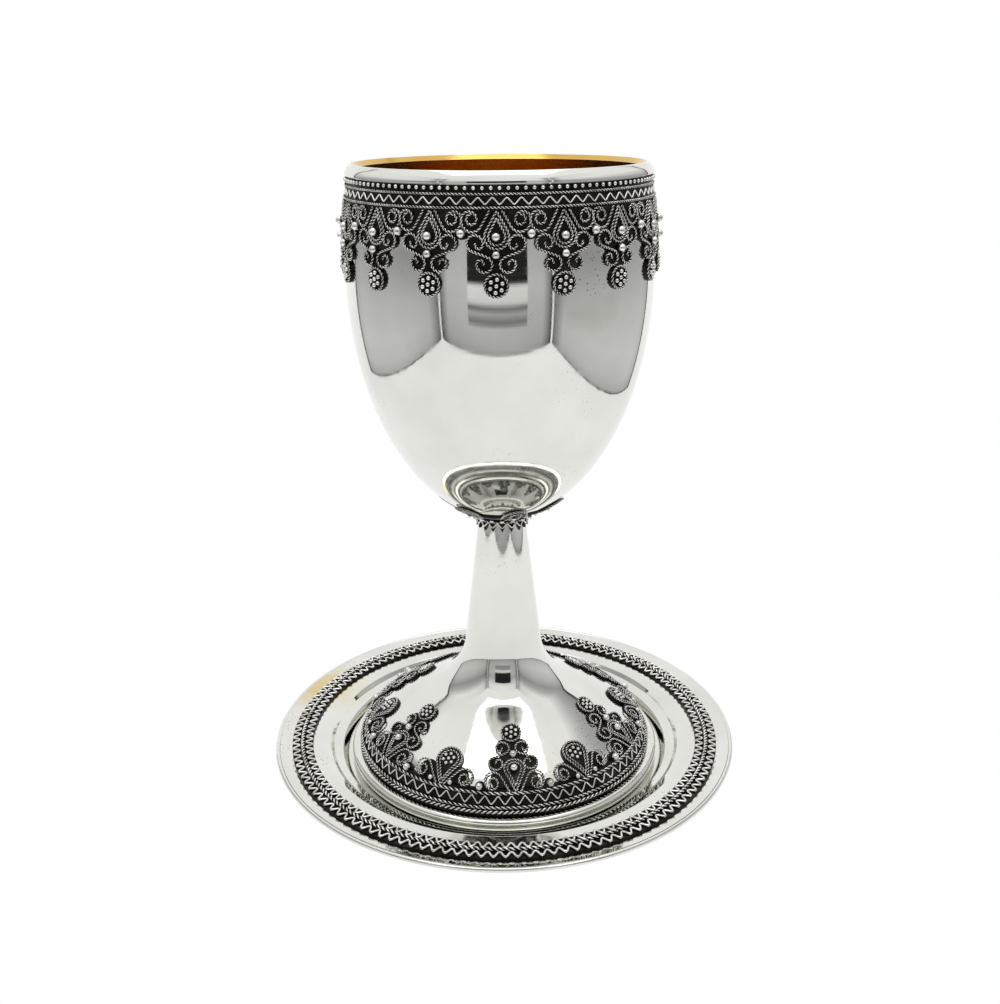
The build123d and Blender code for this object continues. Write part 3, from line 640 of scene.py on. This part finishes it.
def folded(skin, low, high, count):
    """A wire folded up and down right round the axis."""
    corners = [0, 0.1, 0.3, 0.5, 0.7, 0.9, 1, 0.9, 0.7, 0.5, 0.3, 0.1]
    points = []
    for i in range(count):
        for j, part in enumerate(corners):
            up = low + (high - low) * part
            round_skin = 2 * math.pi * skin.at(up)[0] / MM
            points.append((round_skin * (i + j / len(corners)) / count, up))
    return [(points, True)]


def balls(name, places, body, *nodes):
    """Granules: a ball at each centre, with its radius in millimetres."""
    bm = bmesh.new()
    for centre, radius in places:
        ball = bmesh.ops.create_icosphere(bm, subdivisions=2, radius=radius * MM)
        bmesh.ops.translate(bm, verts=ball["verts"], vec=centre)
    mesh = bpy.data.meshes.new(name)
    bm.to_mesh(mesh)
    bm.free()
    return new_piece(name, mesh, GRANULE_SILVER, body, "filigree_silver", *nodes)


def bead(skin, side, up, radius, turn=0.0):
    return skin.point(side, up, GROUND / MM + radius - SOLDER, turn), radius


def seven(skin, up, reach, radius, turn, way=1):
    """One granule with six round it."""
    ring = [(reach * math.sin(a), way * reach * math.cos(a)) for a in around(6, 0.12)]
    return [bead(skin, x, up + y, radius, turn) for x, y in [(0, 0)] + ring]


# ---------------------------------------------------------------- lace on the bowl and the foot

BEAD = 0.92  # radius of a large bead, in millimetres
GRANULE = 0.46
MEDALLION_UP = 9.6  # from the motif's bead to the middle of its medallion
BOWL_FOLDS = 75
FOOT_FOLDS = 72
FOOT_BEAD_HEIGHT = 8.6  # beads between the motifs, above the foot's underside
PETALS = 7
PETAL_TURN = math.radians(13.0)
PETAL_MIDDLE = 13.0  # from the axis to the middle of a petal's round end
PETAL_ROUND = 2.6
COLLAR_POINTS = 17


def motif(tip):
    """The tall motif from its bead outwards: drop, side scrolls, two double curls, medallion."""
    drops = [tear((0, 0), 2.42, tip), tear((0, 0), 1.66, tip - 1.3)]
    scrolls = both_sides([scroll((1.25, -tip - 0.1), 61, tip - 1.4, 2.05)])
    curls = both_sides(double_curl((4.2, 1.3), 1.62, (2.3, 5.4), 1.55))
    return drops, scrolls, curls, [loop((0, MEDALLION_UP), 2.3)]


def make_bowl_lace():
    skin = Skin(bowl_line(0))
    middle = skin.up(137.4)
    half = math.pi / BOWL_MOTIFS
    turns = around(BOWL_MOTIFS, BOWL_TURN)
    drops, scrolls, curls, medallion = [placed(part, middle, -1) for part in motif(4.9)]
    lay("bowl_drops", skin, drops, turns, "goblet", "bowl_teardrop_wires")
    lay("bowl_scrolls", skin, scrolls, turns, "goblet", "bowl_scroll_wires")
    lay("bowl_double_curls", skin, curls, turns, "goblet", "bowl_middle_loops", "bowl_lower_loops")
    lay("bowl_medallion_wires", skin, medallion, turns, "goblet", "bowl_medallion_rings")
    for side, height in (("upper", 145.5), ("lower", 142.9)):
        lay("bowl_%s_twist" % side, skin, hoop(skin, skin.up(height)), [0], "goblet",
            "bowl_twist_wire_" + side)
    fold = folded(skin, skin.up(143.55), skin.up(144.85), BOWL_FOLDS)
    lay("bowl_folded_wire", skin, fold, [0], "goblet", "bowl_zigzag_wire", thickness=0.18, twist=0)
    row = [bead(skin, 0, skin.up(146.6), GRANULE, turn) for turn in around(125)]
    balls("bowl_granule_row", row, "goblet", "bowl_bead_row")
    places = []
    for turn in turns:
        places.append(bead(skin, 0, middle, BEAD, turn))
        places.append(bead(skin, 0, middle - 3.5, BEAD * 0.95, turn))
        places.append(bead(skin, 0, skin.up(138.0), BEAD, turn + half))
    balls("bowl_large_beads", places, "goblet", "bowl_motif_beads")
    granules = [place for turn in turns
                for place in seven(skin, middle - MEDALLION_UP, 1.3, 0.5, turn)]
    balls("bowl_medallion_beads", granules, "goblet", "bowl_medallion_granules")


def make_foot_lace():
    skin = Skin(foot_line())
    half = math.pi / FOOT_MOTIFS
    ring_up = skin.up(7.6)
    tall_turns = around(FOOT_MOTIFS, FOOT_TURN)
    short_turns = around(FOOT_MOTIFS, FOOT_TURN + half)
    middle = skin.up(11.3)
    tip = middle - ring_up - WIRE
    drops, scrolls, curls, medallion = [placed(part, middle, 1) for part in motif(tip)]
    lay("foot_drops", skin, drops, tall_turns, "goblet", "foot_tall_teardrops")
    lay("foot_scrolls", skin, scrolls, tall_turns, "goblet", "foot_tall_scrolls")
    lay("foot_double_curls", skin, curls, tall_turns, "goblet", "foot_tall_loops")
    lay("foot_medallion_wires", skin, medallion, tall_turns, "goblet",
        "foot_tall_medallion_rings")
    disc = skin.up(11.8)
    short_tip = disc - ring_up - WIRE
    short = placed([tear((0, 0), 3.1, short_tip), tear((0, 0), 2.3, short_tip - 1.1)], disc, 1)
    side = both_sides([scroll((0.9, -short_tip + 0.1), 52, short_tip - 1.5, 1.95)])
    lay("foot_short_drops", skin, short, short_turns, "goblet", "foot_short_teardrops")
    lay("foot_short_side_scrolls", skin, placed(side, disc, 1), short_turns, "goblet",
        "foot_short_scrolls")
    lay("foot_upper_twist", skin, hoop(skin, ring_up, 1.4), [0], "goblet",
        "foot_twist_wire_upper", thickness=0.5, twist=1.4)
    lay("foot_middle_twist", skin, hoop(skin, skin.up(4.8), 1.3), [0], "goblet",
        "foot_twist_wire_middle", thickness=0.48, twist=1.3)
    lay("foot_lower_twist", skin, hoop(skin, skin.up(3.8), 1.3), [0], "goblet",
        "foot_twist_wire_lower", thickness=0.48, twist=1.3, way=-1)
    fold = folded(skin, skin.up(5.5), skin.up(7.1), FOOT_FOLDS)
    lay("foot_folded_wire", skin, fold, [0], "goblet", "foot_zigzag_wire", thickness=0.2, twist=0)
    places = []
    for turn in tall_turns:
        places += [bead(skin, 0, middle, BEAD, turn), bead(skin, 0, middle + 3.6, BEAD, turn)]
        places += [bead(skin, way * 8.4, skin.up(FOOT_BEAD_HEIGHT), BEAD, turn)
                   for way in (-1, 1)]
    for turn in short_turns:
        places += [bead(skin, way * 2.6, skin.up(FOOT_BEAD_HEIGHT), BEAD * 0.7, turn)
                   for way in (-1, 1)]
    balls("foot_large_beads", places, "goblet", "foot_motif_beads")
    granules = [place for turn in tall_turns
                for place in seven(skin, middle + MEDALLION_UP, 1.25, 0.47, turn)]
    granules += [place for turn in short_turns for place in seven(skin, disc, 1.3, 0.47, turn)]
    balls("foot_small_beads", granules, "goblet", "foot_granules")


def petal_lines():
    """One petal of the collar in plan: sideways and out from the axis, in millimetres."""
    middle, reach = PETAL_MIDDLE, PETAL_ROUND + 0.22
    outline = stroke((-reach, middle - 1.8), 90, (0, 1.8), (reach, -180), (0, 1.8))
    drop = tear((0, middle + 0.3), 1.3, 4.2)
    curl = stroke((0.5, 9.0), 25, (0, 0.7), (0.75, 200), (0.4, 190))
    return [outline, drop] + both_sides([curl])


def under_bowl(skin, lines, lift, turn):
    """Lines drawn in plan, lifted off the bowl's underside at a turn round the axis."""
    drop = BOWL_WIDEST - bowl_bottom
    out = []
    for points, closed in lines:
        path = []
        for x, far in points:
            r = math.hypot(x, far)
            height = BOWL_WIDEST - drop * math.sqrt(1 - (r * MM / bowl_radius) ** 2)
            up = skin.up((height - seat) / MM)
            path.append(skin.point(0, up, lift, turn + math.atan2(x, far)))
        out.append((path, closed))
    return out


def make_collar():
    """Seven petals of wire under the bowl, and the folded wire round the top of the stem."""
    skin = Skin(bowl_line(0))
    turns = around(PETALS, PETAL_TURN)
    petal = petal_lines()
    wires = [line for turn in turns for line in under_bowl(skin, petal, GROUND / MM, turn)]
    mesh = wire_mesh("collar_petal_wires", wires, WIRE, TWIST)
    new_piece("collar_petal_wires", mesh, WIRE_SILVER, "goblet", "filigree_silver",
              "collar_scroll_rings")
    beads = span("collar_petal_beads")
    up = skin.up(((beads["low"] + beads["high"]) / 2 - seat) / MM)
    balls("collar_petal_granules", [bead(skin, 0, up, 0.42, turn) for turn in turns], "goblet",
          "collar_petal_beads")
    node = span("collar_twist_wire")
    thick = (node["high"] - node["low"]) / 2 / MM
    ring_wire("collar_twist", node, thick, 0.8, "goblet", "collar_twist_wire")
    stem = Skin(foot_line())
    sleeve = span("collar_zigzag_wire")
    low, high = stem.up((sleeve["low"] - seat) / MM), stem.up((node["low"] - seat) / MM)
    fold = folded(stem, low + 0.25, high, COLLAR_POINTS)
    lay("collar_folded_wire", stem, fold, [0], "goblet", "collar_zigzag_wire", thickness=0.2,
        twist=0)


def make_saucer_wire():
    """The bright twisted ring and the wires folded in and out on each side of it."""
    node = span("saucer_twist_wire")
    thick = (node["high"] - node["low"]) / 2 / MM
    ring_wire("saucer_twist", node, thick, 1.3, "saucer", "saucer_twist_wire")
    middle = node["radius"] / MM - thick
    reach = span("saucer_band_ground")["radius"] / MM
    height = band_floor + FOLDED * MM
    rows = {"outer": (middle + thick + FOLDED, reach - FOLDED),
            "inner": (2 * middle - reach + FOLDED, middle - thick - FOLDED)}
    for side, (low, high) in rows.items():
        points = []
        for i in range(SAUCER_FOLDS * FOLD_STEPS):
            angle = 2 * math.pi * i / (SAUCER_FOLDS * FOLD_STEPS)
            wave = math.cos(2 * math.pi * i / FOLD_STEPS)
            radius = ((low + high) + (high - low) * (1.25 * wave - 0.25 * wave ** 3)) / 2 * MM
            points.append(Vector((radius * math.cos(angle), radius * math.sin(angle), height)))
        mesh = wire_mesh("saucer_folds_" + side, [(points, True)], FOLDED, 0)
        new_piece("saucer_folds_" + side, mesh, GRANULE_SILVER, "saucer", "filigree_silver",
                  "saucer_zigzag_" + side)


KEPT = {
    "saucer_band_ground": OXIDE, "bowl_lace_ground": OXIDE, "foot_lace_ground": OXIDE,
    "bowl_stud": BRASS, "stem_washer": BRASS, "stem_nut": BRASS,
    "collar_petal_plate": OXIDE, "collar_sleeve": OXIDE, "collar_bead_row": GRANULE_SILVER,
}


def finish_kept_nodes():
    """Gives the frame's own pieces that are kept their metals."""
    for node, material in KEPT.items():
        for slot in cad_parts[node].material_slots:
            slot.material = material


# ---------------------------------------------------------------- camera, floor and light

def glowing(name, reads=(), colour="#FFFFFF", strength=1.0):
    """A cloth or card that gives light and takes none. reads holds (axis, low, high, stops):
    how bright it is along an axis of its own, between two places in metres."""
    material = bpy.data.materials.new(name)
    material.use_nodes = True
    tree = material.node_tree
    tree.nodes.clear()
    where = tree.nodes.new("ShaderNodeTexCoord").outputs["Object"]
    axes = tree.nodes.new("ShaderNodeSeparateXYZ")
    tree.links.new(where, axes.inputs[0])
    shade = linear(colour)
    for axis, low, high, stops in reads:
        along = add(tree, "MapRange", Value=axes.outputs[axis], i1=low, i2=high)
        part = add(tree, "ValToRGB", stops, Fac=along)
        shade = add(tree, "Mix", settings=COLOUR_MULTIPLY, i0=1.0, i6=shade, i7=part)
    light = add(tree, "Emission", Color=shade, Strength=strength)
    output = tree.nodes.new("ShaderNodeOutputMaterial")
    tree.links.new(light, output.inputs["Surface"])
    return material


def card(name, corners, material, seen=False):
    """A flat piece of the floor or the light tent. Unless seen, only the metal mirrors it."""
    mesh = bpy.data.meshes.new(name)
    bm = bmesh.new()
    bm.faces.new([bm.verts.new(corner) for corner in corners])
    bm.to_mesh(mesh)
    bm.free()
    piece = bpy.data.objects.new(name, mesh)
    mesh.materials.append(material)
    bpy.context.scene.collection.objects.link(piece)
    piece.visible_camera = seen


def upright(name, x0, x1, y0, y1, z0, z1, material):
    """A standing card between two places on the floor."""
    card(name, [(x0, y0, z0), (x1, y1, z0), (x1, y1, z1), (x0, y0, z1)], material)


FLOOR_FRONT, FLOOR_REACH = -0.6, 3.0
FLOOR_LOW = -0.0005  # just under the saucer
TENT_LEFT, TENT_RIGHT = -0.187, 0.151
TENT_FRONT, TENT_BACK = -0.212, 0.125
TENT_LOW, TENT_HIGH = 0.025, 0.306
SLIT_LEFT, SLIT_RIGHT = -0.0823, 0.0665
SLIT_LOW, SLIT_HIGH = 0.0634, 0.1968
SLIT_IN = 0.002  # the slit's place behind the front cloth
SEAM = 0.004  # open gap at the tent's front corners
LAMP, LAMP_UP, LAMP_HALF = 2.2, 0.55, 0.2
LENS_AT = (-0.0005, -0.264, 0.1652)
LENS_DOWN, LENS_ROLL = math.radians(19.85), math.radians(-0.55)
LENS_LENGTH = 40.38


def flat(name, half, y0, y1, z, material, seen=False):
    """A level card, as far to the left of the axis as to the right."""
    card(name, [(-half, y0, z), (half, y0, z), (half, y1, z), (-half, y1, z)], material, seen)


def make_light():
    """A white floor, a light tent open behind, a lamp over it and, just inside the tent's
    front, the dark slit that the lens looks through."""
    world = bpy.data.worlds.new("white studio")
    bpy.context.scene.world = world
    world.use_nodes = True
    sky = world.node_tree.nodes["Background"]
    sky.inputs["Color"].default_value = (1, 1, 1, 1)
    sky.inputs["Strength"].default_value = 1.0
    flat("floor", FLOOR_REACH, FLOOR_FRONT, FLOOR_REACH, FLOOR_LOW, glowing("white paper floor"),
         seen=True)
    rise = ((0.0, 0.04), (0.01, 0.5), (0.05, 0.62), (0.12, 0.66), (0.25, 0.55), (0.38, 0.36),
            (0.5, 0.5), (0.68, 0.95))
    depth = ((0.0, 0.04), (0.03, 0.35), (0.15, 0.85), (0.5, 1.0), (0.85, 1.05), (0.96, 0.9),
             (0.985, 0.05))
    wall = glowing("tent side cloth", [
        (2, TENT_LOW, TENT_HIGH, rise), (1, TENT_FRONT, TENT_BACK, depth)])
    for name, side in (("tent_left", TENT_LEFT), ("tent_right", TENT_RIGHT)):
        upright(name, side, side, TENT_FRONT + SEAM, TENT_BACK, TENT_LOW, TENT_HIGH, wall)
    foot = ((0.0, 0.03), (0.01, 0.4), (0.05, 0.5), (0.11, 0.55), (0.3, 0.62), (0.45, 0.5),
            (0.75, 1.0))
    across = ((0.0, 0.03), (0.03, 0.4), (0.1, 0.9), (0.5, 1.0), (0.9, 0.9), (0.97, 0.4),
              (1.0, 0.03))
    front = glowing("tent front cloth", [
        (2, TENT_LOW, TENT_HIGH, foot), (0, TENT_LEFT + SEAM, TENT_RIGHT - SEAM, across)])
    upright("tent_front", TENT_LEFT + SEAM, TENT_RIGHT - SEAM, TENT_FRONT, TENT_FRONT,
            TENT_LOW, TENT_HIGH, front)
    flat("lamp", LAMP_HALF, -LAMP_HALF, LAMP_HALF, LAMP_UP, glowing("soft lamp", strength=LAMP))
    room = ((0.0, 0.42), (0.05, 0.2), (0.12, 0.45), (0.17, 0.16), (0.22, 0.75), (0.33, 0.8),
            (0.37, 0.02), (0.95, 0.02), (1.0, 0.3))
    slit = glowing("dark slit", [(2, SLIT_LOW, SLIT_HIGH, room)])
    near = TENT_FRONT + SLIT_IN
    upright("tent_slit", SLIT_LEFT, SLIT_RIGHT, near, near, SLIT_LOW, SLIT_HIGH, slit)


def make_camera():
    """A short lens a little above the lip, looking down at the saucer."""
    camera = bpy.data.objects.new("camera", bpy.data.cameras.new("camera"))
    bpy.context.scene.collection.objects.link(camera)
    camera.location = LENS_AT
    tip = Matrix.Rotation(math.pi / 2 - LENS_DOWN, 3, "X")
    camera.rotation_euler = (tip @ Matrix.Rotation(LENS_ROLL, 3, "Z")).to_euler()
    camera.data.lens = LENS_LENGTH
    bpy.context.scene.camera = camera
    bpy.context.scene.view_settings.view_transform = "Standard"


make_bodies()
make_saucer()
make_saucer_wire()
make_bowl_lace()
make_foot_lace()
make_collar()
finish_kept_nodes()
make_light()
make_camera()
